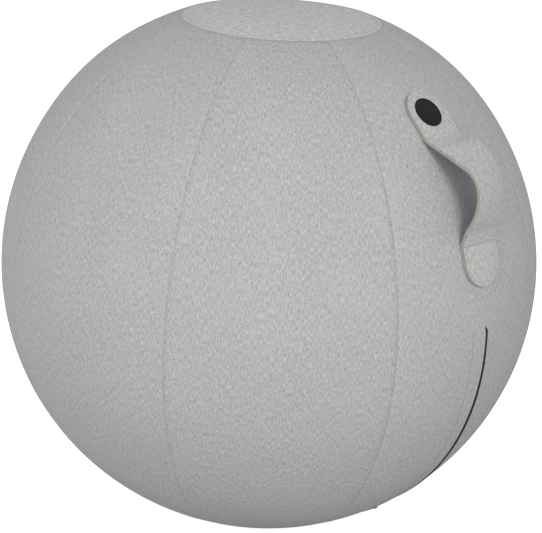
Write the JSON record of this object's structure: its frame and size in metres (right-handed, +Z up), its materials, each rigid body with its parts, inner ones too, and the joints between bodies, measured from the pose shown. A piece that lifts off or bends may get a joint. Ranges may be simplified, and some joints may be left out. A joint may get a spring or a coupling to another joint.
{
  "type": "sitting ball",
  "caption": "Inflated sitting ball in a sewn fabric cover with a carrying handle loop, a badge, a concealed zip and a non-slip base.",
  "frame": {"origin": "on the floor, at the middle of the flat patch that the ball stands on", "axes": "+Z up; +X from the ball's axis towards the carrying handle and the zip; +Y to the left of a person who faces the handle from outside"},
  "size_m": [0.6503, 0.65, 0.6324],
  "materials": {
    "cover_fabric": "pale grey melange weave, fine light and dark flecks, matt",
    "base_fabric": "dark grey non-slip coated fabric with small raised dots",
    "seam_thread": "grey twisted polyester sewing thread",
    "strap_fabric": "pale warm grey weave, a little lighter than the cover",
    "strap_core": "cream felt that shows as a thin line along the strap's edges",
    "strap_lining": "slate grey twill, a little darker and bluer than the cover",
    "backing_fabric": "plain grey canvas",
    "badge_rubber": "near-black moulded rubber, satin, with a raised rim",
    "zip_tape": "dark grey herringbone woven tape",
    "zip_plastic": "dark grey moulded acetal teeth",
    "zip_metal": "die-cast zinc, pale grey satin lacquer",
    "bladder_vinyl": "grey smooth vinyl",
    "plug_vinyl": "off-white soft vinyl"
  },
  "bodies": {
    "ball": {"top_panel": "cover_fabric", "side_panel_1": "cover_fabric", "side_panel_2": "cover_fabric", "side_panel_3": "cover_fabric", "side_panel_4": "cover_fabric", "side_panel_5": "cover_fabric", "side_panel_6": "cover_fabric", "side_panel_7": "cover_fabric", "handle_panel": "cover_fabric", "zip_panel": "cover_fabric", "zip_facing_left": "cover_fabric", "zip_facing_right": "cover_fabric", "base_panel": "base_fabric", "seam_threads": "seam_thread", "top_stitching": "seam_thread", "zip_stitching": "seam_thread", "upper_handle_stitching": "seam_thread", "lower_handle_stitching": "seam_thread", "handle_outer": "strap_fabric", "handle_core": "strap_core", "handle_lining": "strap_lining", "upper_handle_patch": "backing_fabric", "lower_handle_patch": "backing_fabric", "handle_badge": "badge_rubber", "zip_tape_left": "zip_tape", "zip_tape_right": "zip_tape", "zip_teeth_left": "zip_plastic", "zip_teeth_right": "zip_plastic", "zip_top_stop": "zip_metal", "zip_bottom_stop": "zip_metal", "bladder": "bladder_vinyl", "air_plug": "plug_vinyl"},
    "slider": {"zip_slider": "zip_metal", "zip_pull_pin": "zip_metal"},
    "pull": {"zip_pull": "zip_metal"}
  },
  "joints": [
    {"name": "zip_travel", "type": "hinge", "parent": "ball", "child": "slider", "pos_m": [0, 0, 0.31737], "axis": [0.0122, -0.9986, -0.0523], "range_deg": [0, 57.5]},
    {"name": "pull_swing", "type": "hinge", "parent": "slider", "child": "pull", "pos_m": [0.18088, 0.01651, 0.04461], "axis": [0.0122, -0.9986, -0.0523], "range_deg": [-1.5, 181]}
  ]
}
